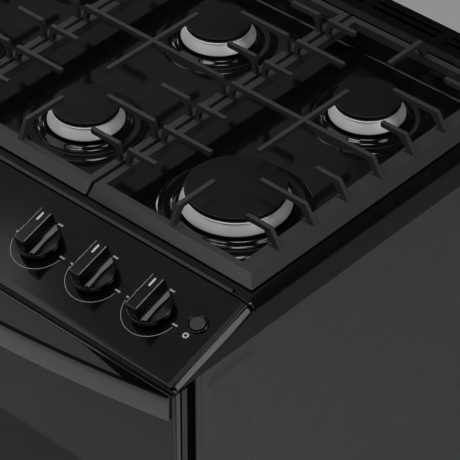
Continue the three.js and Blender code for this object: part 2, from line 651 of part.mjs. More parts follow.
add('control_panel', blackEnamel, makeControlPanel());
add('gas_manifold', brass, makeGasManifold());
add('gas_supply_pipe', galvanised, makeGasSupply());
knobs.forEach((knob) => {
  add(`valve_stem_${knob.name}`, brass, makeValveStem(knob));
  add(`knob_${knob.name}`, glossPlastic, makeKnob(knob));
});
add('igniter_bezel', glossPlastic, makeBezel());
add('igniter_button', glossPlastic, makeButton());

add('door_frame', darkMetal, makeDoorFrame());
add('door_glass', blackGlass, makeDoorGlass());
add('door_liner', ovenEnamel, makeDoorLiner());
add('door_inner_glass', blackGlass, makeDoorInnerGlass());
add('door_gasket', rubber, makeDoorGasket());
add('door_handle', darkMetal, makeDoorHandle());
add('door_hinge_left', galvanised, makeDoorHinge(-1));
add('door_hinge_right', galvanised, makeDoorHinge(1));

add('drawer_front', blackEnamel, makeDrawerFront());
add('drawer_box', galvanised, makeDrawerBox());

export default range;
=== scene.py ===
"""Looks of the freestanding gas range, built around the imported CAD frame.

Lengths are millimetres in the shape code and become metres when a mesh is made.
Lights, the camera and material patterns are given in metres.
"""
import math

import bmesh
import bpy
from mathutils import Matrix, Vector


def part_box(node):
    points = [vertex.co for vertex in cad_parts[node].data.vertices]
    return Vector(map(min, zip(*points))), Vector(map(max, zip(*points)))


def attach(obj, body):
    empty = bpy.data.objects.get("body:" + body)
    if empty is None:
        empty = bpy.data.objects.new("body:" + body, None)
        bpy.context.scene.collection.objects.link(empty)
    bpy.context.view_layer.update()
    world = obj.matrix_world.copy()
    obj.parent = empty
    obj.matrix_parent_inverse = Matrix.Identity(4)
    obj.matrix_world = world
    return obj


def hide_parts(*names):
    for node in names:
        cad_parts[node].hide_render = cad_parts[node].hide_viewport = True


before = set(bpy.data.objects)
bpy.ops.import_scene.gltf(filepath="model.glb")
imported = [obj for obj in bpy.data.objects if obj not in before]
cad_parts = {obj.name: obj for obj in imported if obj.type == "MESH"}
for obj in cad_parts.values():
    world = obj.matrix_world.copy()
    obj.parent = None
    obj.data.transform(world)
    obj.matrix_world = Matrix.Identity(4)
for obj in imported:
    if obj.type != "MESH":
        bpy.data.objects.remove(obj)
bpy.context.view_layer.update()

MM = 0.001
BODY = "range"
TILT = math.radians(17.6)          # slope of the control panel
PANEL_FRONT_Y = -308.0             # lip of the control panel
PANEL_BASE_Z = 859.0
PANEL_LIP = 5.0                    # height of the lip
PANEL_SLOPE = 129.0                # length of the slope, from the lip to the rear
KNOB_UP = 65.0                     # knob centres, up the slope from the lip
KNOB_LIFT = 4.5                    # clearance under a knob
KNOB_TOP = 34.9                    # crest of a knob's ridge, over the slope
KNOB_REACH = 25.0                  # farthest point of the ridge from the knob's axis
BUTTON_UP = 78.0                   # igniter button, up the slope from the lip
TRAY_Z = 879.0                     # floor of the burner tray
TRAY_CENTRE_Y = 64.5
SHEET = 1.2                        # thickness of the cooktop
HEAD_FOOT_Z = 868.0                # lower end of a burner head
HEAD_TOP_Z = 903.4
CAP_FOOT_Z = 903.9
CAP_TOP_Z = 910.0


# ---- camera ---------------------------------------------------------------------------------------
def make_camera():
    """A long lens looking down at the front right corner of the top."""
    azimuth, elevation, roll = map(math.radians, (41.94, 38.62, -0.16))
    back = Vector((
        math.sin(azimuth) * math.cos(elevation),
        -math.cos(azimuth) * math.cos(elevation),
        math.sin(elevation),
    ))
    data = bpy.data.cameras.new("camera")
    data.sensor_width = 36.0
    data.lens = 221.4
    data.clip_start, data.clip_end = 0.05, 60.0
    camera = bpy.data.objects.new("camera", data)
    camera.location = (1.8948, -1.9082, 2.8386)
    turn = (-back).to_track_quat("-Z", "Y").to_matrix().to_4x4()
    camera.rotation_euler = (turn @ Matrix.Rotation(-roll, 4, "Z")).to_euler()
    bpy.context.scene.collection.objects.link(camera)
    bpy.context.scene.camera = camera


# ---- lights and floor -----------------------------------------------------------------------------
def area_light(name, location, target, size, power):
    """Rectangular light that looks at a target."""
    data = bpy.data.lights.new(name, "AREA")
    data.shape = "RECTANGLE"
    data.size, data.size_y = size
    data.energy = power
    light = bpy.data.objects.new(name, data)
    light.location = location
    aim = Vector(target) - Vector(location)
    light.rotation_euler = aim.to_track_quat("-Z", "Y").to_euler()
    bpy.context.scene.collection.objects.link(light)


def make_lights():
    """Soft boxes over and beside the range, in a nearly black room."""
    world = bpy.data.worlds.new("studio")
    world.use_nodes = True
    background = world.node_tree.nodes["Background"]
    background.inputs["Color"].default_value = (1.0, 1.0, 1.0, 1)
    background.inputs["Strength"].default_value = 0.04
    bpy.context.scene.world = world
    area_light("overhead", (0.48, -0.1, 3.1), (0.25, -0.2, 0.9), (0.6, 0.6), 10)
    area_light("front_left", (-1.25, -1.7, 3.0), (0.2, -0.1, 0.9), (3.4, 2.3), 30)
    area_light("front_top", (0.25, -1.35, 3.1), (0.2, -0.3, 0.9), (0.9, 0.5), 10)
    area_light("right_tall", (2.15, 0.2, 1.95), (0.35, -0.2, 0.87), (0.6, 2.0), 14)
    area_light("left_low", (-2.1, 0.5, 1.7), (0.2, -0.1, 0.9), (0.65, 0.65), 8)
    area_light("back_left", (-1.62, 1.17, 2.5), (-0.27, -0.33, 0.9), (1.4, 2.4), 2.4)
    area_light("left_top", (-1.1, -0.25, 3.0), (0.2, -0.25, 0.9), (1.3, 1.3), 1.4)
    area_light("strip_top", (-0.28, -0.28, 3.05), (0.37, -0.33, 0.9), (0.5, 0.7), 0.8)
    area_light("floor_right", (1.4, -0.3, 0.5), (1.4, -0.3, 0.0), (0.7, 0.9), 4)


def make_floor(material):
    """Wide ground plane that belongs to the stage, not to the object."""
    mesh = bpy.data.meshes.new("floor")
    half = 12.0
    mesh.from_pydata([(-half, -half, 0), (half, -half, 0), (half, half, 0), (-half, half, 0)],
                     [], [(0, 1, 2, 3)])
    floor = bpy.data.objects.new("floor", mesh)
    floor.data.materials.append(material)
    bpy.context.scene.collection.objects.link(floor)


# ---- materials ------------------------------------------------------------------------------------
class Nodes:
    """Small helper that adds nodes to one material."""

    def __init__(self, name):
        self.material = bpy.data.materials.new(name)
        self.material.use_nodes = True
        self.tree = self.material.node_tree
        self.shader = self.tree.nodes["Principled BSDF"]
        self.coordinates = self.tree.nodes.new("ShaderNodeTexCoord").outputs["Object"]

    def set(self, **values):
        """Sets shader inputs; an underscore in a keyword stands for a space."""
        for key, value in values.items():
            self.shader.inputs[key.replace("_", " ")].default_value = value

    def add(self, kind, inputs=None, **settings):
        """New node, its inputs linked to sockets or set to plain values."""
        node = self.tree.nodes.new(kind)
        for key, value in settings.items():
            setattr(node, key, value)
        for key, value in (inputs or {}).items():
            if isinstance(value, bpy.types.NodeSocket):
                self.tree.links.new(value, node.inputs[key])
            else:
                node.inputs[key].default_value = value
        return node

    def noise(self, scale, detail=3.0, roughness=0.5, vector=None):
        """Noise in the object's own coordinates, unless a vector is given."""
        return self.add("ShaderNodeTexNoise", {
            "Vector": vector or self.coordinates, "Scale": scale, "Detail": detail,
            "Roughness": roughness,
        }).outputs["Fac"]

    def spread(self, value, low, high, start=0.3, end=0.7):
        """Maps start..end of a value to low..high."""
        return self.add("ShaderNodeMapRange", {
            "Value": value, "From Min": start, "From Max": end, "To Min": low, "To Max": high,
        }).outputs["Result"]

    def blend(self, value, dark, light):
        """Colour that runs from dark to light over the middle of a value's range."""
        ramp = self.add("ShaderNodeValToRGB", {"Fac": value})
        ramp.color_ramp.elements[0].color = (*dark, 1)
        ramp.color_ramp.elements[1].color = (*light, 1)
        ramp.color_ramp.elements[0].position = 0.3
        ramp.color_ramp.elements[1].position = 0.7
        return ramp.outputs["Color"]

    def link(self, socket, name):
        self.tree.links.new(socket, self.shader.inputs[name])

    def compute(self, operation, *values):
        """Math node on one or two values or sockets."""
        return self.add("ShaderNodeMath", dict(enumerate(values)), operation=operation).outputs[0]

    def axis(self, vector, name):
        return self.add("ShaderNodeSeparateXYZ", {"Vector": vector}).outputs[name]

    def facing(self):
        """Direction of the surface in the object's own axes."""
        return self.add("ShaderNodeTexCoord").outputs["Normal"]

    def mix(self, factor, first, second):
        """Mixes two colours, each one a socket or four numbers."""
        inputs = {"Factor": factor, "A": first, "B": second}
        return self.add("ShaderNodeMix", inputs, data_type="RGBA").outputs["Result"]

    def bump(self, height, strength, distance, normal=None):
        inputs = {"Height": height, "Strength": strength, "Distance": distance}
        if normal:
            inputs["Normal"] = normal
        return self.add("ShaderNodeBump", inputs).outputs["Normal"]


def lighter(colour, factor):
    return tuple(c * factor for c in colour)


def enamel(name, dark, light, roughness=0.1, peel=0.03, shine=0.5):
    """Gloss enamel with a faint orange peel, less shiny on upright faces at the sides."""
    n = Nodes(name)
    n.set(IOR=1.42)
    n.link(n.blend(n.noise(60), dark, light), "Base Color")
    n.link(n.spread(n.noise(9, 1), roughness * 0.9, roughness * 1.15), "Roughness")
    n.link(n.bump(n.noise(420, 2), peel, 0.0005), "Normal")
    aside = n.compute("ABSOLUTE", n.axis(n.facing(), "X"))
    n.link(n.spread(aside, shine, shine * 0.44, 0.82, 0.98), "Specular IOR Level")
    return n.material


def cast_iron(name, dark, light, grain=0.35, shine=0.5):
    """Dull enamel over a sand-cast grain: fine pits on soft lumps."""
    n = Nodes(name)
    n.set(IOR=1.5)
    n.link(n.blend(n.noise(420, 5), dark, light), "Base Color")
    n.link(n.spread(n.noise(500, 4), 0.42, 0.54), "Roughness")
    pits = n.noise(1800, 3, 0.6)
    lumps = n.noise(600, 2)
    n.link(n.bump(pits, grain, 0.0004, n.bump(lumps, 0.08, 0.0006)), "Normal")
    n.set(Specular_IOR_Level=shine)
    return n.material


def satin_aluminium(name):
    """Cast and turned aluminium: fine rings round each piece's own axis."""
    n = Nodes(name)
    n.set(Metallic=0.7)
    split = n.add("ShaderNodeSeparateXYZ", {"Vector": n.coordinates})
    flat = n.add("ShaderNodeCombineXYZ", {"X": split.outputs["X"], "Y": split.outputs["Y"]})
    radius = n.add("ShaderNodeVectorMath", {0: flat.outputs[0]}, operation="LENGTH").outputs["Value"]
    rings = n.add("ShaderNodeCombineXYZ", {"X": radius, "Y": split.outputs["Z"]}).outputs[0]
    turned = n.noise(1600, 2, 0.5, rings)
    n.link(n.blend(n.noise(30, 3), (0.90, 0.90, 0.89), (0.95, 0.95, 0.94)), "Base Color")
    n.link(n.spread(turned, 0.48, 0.55), "Roughness")
    n.link(n.bump(turned, 0.05, 0.0002), "Normal")
    return n.material


def plain_metal(name, dark, light, roughness, scale=80.0):
    """Bare metal with a fine uneven grain."""
    n = Nodes(name)
    n.set(Metallic=1.0)
    grain = n.noise(scale, 4, 0.6)
    n.link(n.blend(grain, dark, light), "Base Color")
    n.link(n.spread(grain, roughness * 0.8, roughness * 1.25), "Roughness")
    n.link(n.bump(grain, 0.05, 0.0004), "Normal")
    return n.material


def paint(name, dark, light, roughness, texture, scale=700.0):
    """Dull coat with a fine texture; also used for rubber and for the floor."""
    n = Nodes(name)
    n.set(IOR=1.5)
    n.link(n.blend(n.noise(25, 3), dark, light), "Base Color")
    n.link(n.spread(n.noise(40, 3), roughness * 0.9, roughness * 1.12), "Roughness")
    n.link(n.bump(n.noise(scale, 2), texture, 0.0005), "Normal")
    return n.material


def galvanised(name):
    """Zinc-coated sheet with its patchwork of crystals."""
    n = Nodes(name)
    n.set(Metallic=1.0)
    cells = n.add("ShaderNodeTexVoronoi", {"Vector": n.coordinates, "Scale": 120.0})
    shade = n.add("ShaderNodeSeparateColor", {"Color": cells.outputs["Color"]}).outputs["Red"]
    n.link(n.blend(shade, (0.40, 0.41, 0.42), (0.45, 0.46, 0.47)), "Base Color")
    n.link(n.spread(shade, 0.46, 0.52, 0.0, 1.0), "Roughness")
    return n.material


def speckled(name):
    """Dark oven enamel with pale dots."""
    n = Nodes(name)
    n.set(IOR=1.5)
    dots = n.add("ShaderNodeTexVoronoi", {"Vector": n.coordinates, "Scale": 260.0})
    near = n.compute("LESS_THAN", dots.outputs["Distance"], 0.16)
    n.link(n.mix(near, (0.012, 0.013, 0.018, 1), (0.16, 0.17, 0.19, 1)), "Base Color")
    n.link(n.spread(n.noise(20), 0.15, 0.28), "Roughness")
    return n.material


def door_glass_material(name):
    """Black printed glass with a clearer window in the middle."""
    n = Nodes(name)
    n.set(IOR=1.52)
    soft = 0.002

    def inside(side, centre, half):
        """1 within half of the centre along one axis, 0 beyond."""
        offset = n.compute("SUBTRACT", n.axis(n.coordinates, side), centre)
        return n.spread(n.compute("ABSOLUTE", offset), 1.0, 0.0, half - soft, half + soft)

    window = n.compute("MULTIPLY", inside("X", 0.0, 0.235), inside("Z", 0.545, 0.13))
    n.link(n.blend(n.noise(8), (0.010, 0.010, 0.011), (0.014, 0.014, 0.015)), "Base Color")
    n.link(n.spread(n.noise(5), 0.03, 0.06), "Roughness")
    n.link(n.spread(window, 1.0, 0.55, 0.0, 1.0), "Alpha")
    return n.material


def handle_paint_and_top_shade(name, face, top):
    """Satin dark grey, with painted shade: faces that look up are black and barely shiny."""
    n = Nodes(name)
    n.set(IOR=1.5)
    # Painted shade: the more a face looks up, the blacker and less shiny it is made.
    edge = n.spread(n.axis(n.facing(), "Z"), 0.0, 1.0, 0.05, 0.25)
    tone = n.blend(n.noise(400), face, lighter(face, 1.05))
    n.link(n.mix(edge, tone, (*top, 1)), "Base Color")
    n.link(n.spread(edge, 0.55, 0.1, 0.0, 1.0), "Specular IOR Level")
    n.link(n.spread(n.noise(400), 0.28, 0.32), "Roughness")
    return n.material


def door_side(name, front, face, shadow):
    """Door frame: grey front rim, a darker strip behind it, and painted shadow (black, barely shiny)
    in the seam and everywhere else.
    """
    n = Nodes(name)
    n.set(IOR=1.45)
    depth = n.axis(n.coordinates, "Y")
    soft = 0.0003

    def band(middle, half):
        """1 within half of the middle, measured from front to back, 0 beyond."""
        away = n.compute("ABSOLUTE", n.compute("SUBTRACT", depth, middle))
        return n.spread(away, 1.0, 0.0, half - soft, half + soft)

    rim, seal_side = band(-0.3020, 0.0042), band(-0.2911, 0.0040)
    either = n.compute("ADD", rim, seal_side)
    shade = n.mix(seal_side, (*shadow, 1), n.blend(n.noise(30), face, lighter(face, 1.15)))
    n.link(n.mix(rim, shade, n.blend(n.noise(30), front, lighter(front, 1.15))), "Base Color")
    n.link(n.spread(either, 0.9, 0.35, 0.0, 1.0), "Roughness")
    n.link(n.spread(either, 0.05, 0.5, 0.0, 1.0), "Specular IOR Level")
    return n.material


def printed(name, dark, light):
    """Printing ink."""
    n = Nodes(name)
    n.link(n.blend(n.noise(400), dark, light), "Base Color")
    n.set(Roughness=0.45)
    return n.material


# ---- mesh helpers ---------------------------------------------------------------------------------
def make_object(name, points, faces, smooth_angle=30.0):
    """Mesh object from millimetre points, smooth but for edges sharper than the angle."""
    mesh = bpy.data.meshes.new(name)
    mesh.from_pydata([tuple(c * MM for c in p) for p in points], [], faces)
    mesh.validate()
    work = bmesh.new()
    work.from_mesh(mesh)
    bmesh.ops.recalc_face_normals(work, faces=work.faces)
    work.to_mesh(mesh)
    work.free()
    mesh.shade_smooth()
    mesh.set_sharp_from_angle(angle=math.radians(smooth_angle))
    obj = bpy.data.objects.new(name, mesh)
    bpy.context.scene.collection.objects.link(obj)
    return obj


def dress(obj, body, slot, material, *replaced):
    """Gives a finished piece its material, its body and the CAD nodes it stands in for."""
    obj.data.materials.clear()
    obj.data.materials.append(material)
    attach(obj, body)
    if replaced:
        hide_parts(*replaced)


def bevel(obj, width, segments):
    """Rounds the edges that turn by more than 25 degrees."""
    modifier = obj.modifiers.new("edge_round", "BEVEL")
    modifier.width = width * MM
    modifier.segments = segments
    modifier.limit_method = "ANGLE"
    modifier.angle_limit = math.radians(25)
    modifier.harden_normals = True


def lathe(name, profile, segments, place):
    """Turns a [radius, z] profile about Z. It starts and ends on the axis, or closes on itself."""
    points, faces, rings = [], [], []
    for r, z in profile:
        if r == 0:
            rings.append([len(points)])
            points.append((0, 0, z))
        else:
            rings.append(list(range(len(points), len(points) + segments)))
            points += [(r * math.cos(a), r * math.sin(a), z)
                       for a in (2 * math.pi * i / segments for i in range(segments))]
    for low, high in zip(rings, rings[1:]):
        for i in range(segments):
            j = (i + 1) % segments
            if len(low) == 1 and len(high) > 1:
                faces.append((low[0], high[j], high[i]))
            elif len(high) == 1 and len(low) > 1:
                faces.append((low[i], low[j], high[0]))
            elif len(low) > 1:
                faces.append((low[i], low[j], high[j], high[i]))
    if len(rings[0]) > 1:
        first, last = rings[0], rings[-1]
        faces += [(last[i], last[(i + 1) % segments], first[(i + 1) % segments], first[i])
                  for i in range(segments)]
    obj = make_object(name, points, faces)
    obj.matrix_world = place
    return obj


def arc(cx, cz, radius, start, end, steps):
    """Points of a circular arc in a profile, angles in degrees."""
    angles = (math.radians(start + (end - start) * i / steps) for i in range(steps + 1))
    return [(cx + radius * math.cos(a), cz + radius * math.sin(a)) for a in angles]


def rounded_loop(x0, x1, y0, y1, radius, z, steps, straight=0):
    """Closed anticlockwise loop of a rounded rectangle, with extra points along its sides."""
    corners = ((x1 - radius, y1 - radius, 0), (x0 + radius, y1 - radius, 90),
               (x0 + radius, y0 + radius, 180), (x1 - radius, y0 + radius, 270))
    arcs = [arc(cx, cy, radius, start, start + 90, steps) for cx, cy, start in corners]
    loop = []
    for here, after in zip(arcs, arcs[1:] + arcs[:1]):
        loop += here
        a, b = Vector(here[-1]), Vector(after[0])
        loop += [tuple(a.lerp(b, (i + 1) / (straight + 1))) for i in range(straight)]
    return [(x, y, z) for x, y in loop]


def loft(name, loops, cap_start=True, cap_end=True, smooth_angle=30.0):
    """Skins closed loops that all have the same number of points."""
    count = len(loops[0])
    points = [p for loop in loops for p in loop]
    faces = []
    for k in range(len(loops) - 1):
        for i in range(count):
            j = (i + 1) % count
            a, b = k * count, (k + 1) * count
            faces.append((a + i, a + j, b + j, b + i))
    if cap_start:
        faces.append(tuple(reversed(range(count))))
    if cap_end:
        faces.append(tuple(range((len(loops) - 1) * count, len(loops) * count)))
    return make_object(name, points, faces, smooth_angle)


def join_objects(name, objects):
    """Joins finished meshes into one object, keeping each one's place."""
    work = bmesh.new()
    for obj in objects:
        part = obj.data.copy()
        part.transform(obj.matrix_world)
        work.from_mesh(part)
        bpy.data.meshes.remove(part)
    mesh = bpy.data.meshes.new(name)
    work.to_mesh(mesh)
    work.free()
    for obj in objects:
        bpy.data.objects.remove(obj)
    joined = bpy.data.objects.new(name, mesh)
    bpy.context.scene.collection.objects.link(joined)
    return joined


def panel_place(x, up):
    """Matrix whose +Z is the outward normal of the control panel, at a point up its slope."""
    origin = Vector((x, PANEL_FRONT_Y + up * math.cos(TILT),
                     PANEL_BASE_Z + PANEL_LIP + up * math.sin(TILT))) * MM
    return Matrix.Translation(origin) @ Matrix.Rotation(TILT, 4, "X")


def node_centre(node):
    """Middle of a CAD node's box, in metres."""
    low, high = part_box(node)
    return (low + high) / 2


# ---- carried-over CAD nodes -------------------------------------------------------------------------
def refine_node(node, material, width, segments=2):
    """Keeps a CAD node and rounds its edges: welds it, clears flat triangles and bevels."""
    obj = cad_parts[node]
    obj.data.materials.clear()
    obj.data.materials.append(material)
    weld = obj.modifiers.new("weld", "WELD")
    weld.merge_threshold = 0.01 * MM
    flat = obj.modifiers.new("flat", "DECIMATE")
    flat.decimate_type = "DISSOLVE"
    flat.angle_limit = math.radians(0.5)
    if width:
        bevel(obj, width, segments)


# ---- cooktop ----------------------------------------------------------------------------------------
def make_cooktop(material):
    """Pressed sheet, open below: skirt, rounded shoulder, rim and sunken tray."""
    low, high = (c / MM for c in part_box("cooktop"))
    rim, base = high.z, low.z
    shoulder, corner = 9.0, 0.5        # radius of the shoulder and of the upright corners
    loops = []

    def ring(inset_x, inset_front, inset_back, radius, z):
        """Adds one level of the sheet, drawn in from the sides, the front and the rear."""
        loops.append(rounded_loop(low.x + inset_x, high.x - inset_x, low.y + inset_front,
                                  high.y - inset_back, radius, z, 8, 40))

    # The second ring keeps the folded lower edge from tinting the skirt's smooth shading.
    for z in (base, base + 0.5, rim - shoulder - 1.5, rim - shoulder):
        ring(0, 0, 0, corner, z)
    for step in range(1, 7):
        a = math.radians(90 * step / 6)
        inset, drop = shoulder * (1 - math.cos(a)), shoulder * (1 - math.sin(a))
        ring(inset, inset * 0.15, inset * 0.3, corner + inset * 0.8, rim - drop)

    # Insets of the tray's wall at its top and at its foot: sides, front, rear.
    wall_top = (27.0, TRAY_CENTRE_Y - 220 - low.y, high.y - TRAY_CENTRE_Y - 220)
    wall_foot = (42.0, TRAY_CENTRE_Y - 205 - low.y, high.y - TRAY_CENTRE_Y - 213)
    top_radius, foot_radius = 26, 30

    def wall_ring(share, radius, z):
        """Ring at a share of the way from the wall's top to its foot."""
        ring(*(a + (b - a) * share for a, b in zip(wall_top, wall_foot)), radius, z)

    for share, drop in ((-0.30, 0.0), (-0.12, 0.5), (0.04, 2.0), (0.15, 4.5)):
        wall_ring(share, top_radius, rim - drop)
    for share, rise in ((0.85, 4.5), (0.97, 2.0), (1.15, 0.5), (1.4, 0.0)):
        wall_ring(share, foot_radius, TRAY_Z + rise)
    cooktop = loft("cooktop_sheet", loops, cap_start=False, smooth_angle=50)
    thick = cooktop.modifiers.new("sheet", "SOLIDIFY")
    thick.thickness = SHEET * MM
    thick.offset = -1
    dress(cooktop, BODY, "black_enamel", material, "cooktop")


def make_front_rail(material):
    """Sloping rail along the front edge of the cooktop, square at its ends."""
    low, high = (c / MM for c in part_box("cooktop"))
    half = high.x - 31.4
    front, top, foot = low.y + 0.2, high.z + 2.6, high.z - 3
    section = [(front, foot), (front, high.z)]
    section += arc(front + 3.4, top - 1.4, 1.4, 138, 80, 6)
    section += arc(front + 5.0, top - 1.2, 1.0, 80, 0, 4) + [(front + 6.0, foot)]
    loops = [[(x, y, z) for y, z in section] for x in (-half, half)]
    rail = loft("cooktop_front_rail", loops)
    bevel(rail, 0.3, 2)
    dress(rail, BODY, "black_enamel", material)


def make_well(name, centre, r, material):
    """Two pressed beads round a burner head of radius r, on the tray."""
    tray = TRAY_Z
    steps = 12

    def bead(middle, half, foot, crest):
        """Smooth hump between middle - half and middle + half."""
        return [(middle + half * t, foot + (crest - foot) * (0.5 + 0.5 * math.cos(math.pi * t)))
                for t in (2 * i / steps - 1 for i in range(steps + 1))]

    profile = [(r - 24, tray - 1.0), (r - 24, tray + 1.0), (r - 10, tray + 1.8)]
    profile += bead(r + 3.4, 6.8, tray + 2.2, tray + 6.8)
    profile += bead(r + 17.2, 6.6, tray + 2.0, tray + 3.2)
    profile += [(r + 23.6, tray + 1.5), (r + 25.2, tray + 0.5), (r + 26.4, tray + 0.1),
                (r + 26.4, tray - 1.0)]
    place = Matrix.Translation((centre.x, centre.y, 0))
    well = lathe(f"cooktop_well_{name}", profile, 160, place)
    dress(well, BODY, "black_enamel", material)


def make_burner(name, metal, enamel_cap, gloss):
    """Loose cap of radius r over a head with a flared ring, and the well round them."""
    head, cap = f"burner_head_{name}", f"burner_cap_{name}"
    low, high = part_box(cap)
    centre = (low + high) / 2
    r = (high.x - low.x) / 2 / MM
    head_low, head_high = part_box(head)
    ring = (head_high.x - head_low.x) / 2 / MM
    place = Matrix.Translation((centre.x, centre.y, 0))
    foot = CAP_FOOT_Z
    profile = [(0, foot), (r - 5, foot), (r - 4, foot + 0.7), (r - 1.2, foot + 0.7),
               (r - 0.3, foot + 1.3), (r, foot + 2.3)]
    profile += arc(r - 2.0, CAP_TOP_Z - 2.0, 2.0, 0, 90, 6) + [(0, CAP_TOP_Z)]
    dress(lathe(f"cap_{name}", profile, 160, place), BODY, "cap_enamel", enamel_cap, cap)
    bore, tray, top = 9, TRAY_Z, HEAD_TOP_Z
    profile = [(bore, HEAD_FOOT_Z), (21, HEAD_FOOT_Z), (21, tray + 0.4), (ring - 14, tray + 0.4),
               (ring - 9, tray + 7.0), (ring - 1.4, tray + 8.6), (ring - 0.3, tray + 9.3),
               (ring, tray + 10.4), (ring - 0.4, tray + 11.6)]
    profile += [(r - 1.8, top - 2.4), (r - 1.6, top - 2.1), (r - 0.2, top - 1.7),
                (r + 0.3, top - 1.2), (r + 0.3, top - 0.6), (r - 0.3, top - 0.1), (r - 2, top),
                (bore, top)]
    dress(lathe(f"head_{name}", profile, 160, place), BODY, "burner_aluminium", metal, head)
    make_well(name, centre, ring, gloss)


# ---- control panel ----------------------------------------------------------------------------------
def panel_loop(x, drop, grow=0.0):
    """Section of the control panel at x, lowered by `drop`, and at the rear by `grow` more."""
    up_y, up_z = math.cos(TILT), math.sin(TILT)
    out_y, out_z = -math.sin(TILT), math.cos(TILT)
    lip_y, lip_z = PANEL_FRONT_Y, PANEL_BASE_Z + PANEL_LIP
    rear_y, rear_z = lip_y + PANEL_SLOPE * up_y, lip_z + PANEL_SLOPE * up_z
    under = arc(lip_y + 3.2, PANEL_BASE_Z + 3.2, 3.2, 270, 180, 4)
    lip = arc(lip_y + 3.4, lip_z - 2.4, 3.4, 172, 90 + math.degrees(TILT), 7)
    along = (10, 60, PANEL_SLOPE - 3)
    slope = [(lip_y + d * up_y, lip_z + d * up_z) for d in along]
    rear = arc(rear_y - 2.2, rear_z - 2.9, 2.2, 110, 0, 4)
    lowered = [(p, drop * 0.2) for p in under] + [(p, drop * 0.9) for p in lip]
    lowered += [(p, drop + grow * d / PANEL_SLOPE) for p, d in zip(slope, along)]
    lowered += [(p, (drop + grow) * 0.8) for p in rear]
    skin = [(x, y - out_y * sunk, max(z - out_z * sunk, PANEL_BASE_Z)) for (y, z), sunk in lowered]
    return skin + [(x, rear_y, PANEL_BASE_Z + 0.3), (x, rear_y - 2, PANEL_BASE_Z)]


def make_end_bead(side):
    """Pill-shaped bead let into the end of the panel, in a groove of its own."""
    outer, inner, floor = 379.95, 374.8, -9.6      # across the panel, and off its slope
    first, last, cap = 1.2, 127.0, 3.6             # up the slope, and length of a rounded end
    radius, lowest, highest = 21.0, 27, 49         # of the crown, in millimetres and degrees
    crown = arc(outer - radius * math.cos(math.radians(lowest)),
                -7.4 - radius * math.sin(math.radians(lowest)), radius, lowest, highest, 10)
    section = [(inner - 0.4, floor), (outer - 1.0, floor), (outer - 0.1, floor + 0.4)] + crown
    top_x, top_h = crown[-1]
    section += [(top_x - 0.4, top_h + 0.05), (top_x - 0.7, top_h - 0.4), (inner - 0.4, top_h - 2.0)]
    centre_x, centre_h = outer - 2.2, -5.0
    turn = [8, 20, 35, 50, 70, 90]
    rows = [(first + cap * (1 - math.cos(math.radians(a))), math.sin(math.radians(a))) for a in turn]
    rows += [(last - up + first, shrink) for up, shrink in reversed(rows)]
    loops = []
    for up, shrink in rows:
        widen = 0.7 + 0.5 * (up - first) / (last - first)
        loops.append([(side * (centre_x + (x - centre_x) * shrink), up,
                       top_h + (centre_h + (h - centre_h) * shrink - top_h) * widen)
                      for x, h in section])
    bead = loft(f"control_panel_bead_{'right' if side > 0 else 'left'}", loops, smooth_angle=35)
    bead.matrix_world = panel_place(0, 0)
    return bead


def make_control_panel(material):
    """The sloping panel: rounded lip, ends that turn down to a groove, end plates and beads."""
    half, corner = 373.5, 0.15         # half width of the skin, radius of its end edges
    strip, fall = 6.0, 0.6             # width and depth of the turn-down beside them
    edges = [corner * (1 - math.cos(math.radians(a))) for a in (0, 20, 40, 60, 90)]
    edges += [1.6, 2.6, 3.8, 5.0, strip, strip + 1]

    def lowering(edge):
        """How far the skin lies below the slope at a distance from its end."""
        turn = corner - math.sqrt(max(corner ** 2 - max(corner - edge, 0) ** 2, 0))
        return turn + fall * max(1 - edge / strip, 0) ** 1.3

    stations = [(-half + e, e) for e in edges] + [(half - e, e) for e in reversed(edges)]
    loops = [panel_loop(x, lowering(edge)) for x, edge in stations]
    pieces = [loft("control_panel_skin", loops, smooth_angle=40)]
    for side in (-1, 1):
        ends = ((half - 2, 5.6), (379.5, 5.6), (379.8, 5.9))
        plate = [panel_loop(side * x, drop, 3.4) for x, drop in ends]
        pieces += [loft("control_panel_plate", plate, smooth_angle=40), make_end_bead(side)]
    panel = join_objects("control_panel_cover", pieces)
    dress(panel, BODY, "black_enamel", material, "control_panel")


def grip_loop(half_x, half_y, level):
    """Straight-sided section of the knob's ridge, its ends kept to the round of the disc."""
    loop = rounded_loop(-half_x, half_x, -half_y, half_y, 1.2, level, 5, 24)
    scales = [min(1.0, KNOB_REACH / math.hypot(x, y)) for x, y, _ in loop]
    return [(x * k, y * k, height) for (x, y, height), k in zip(loop, scales)]


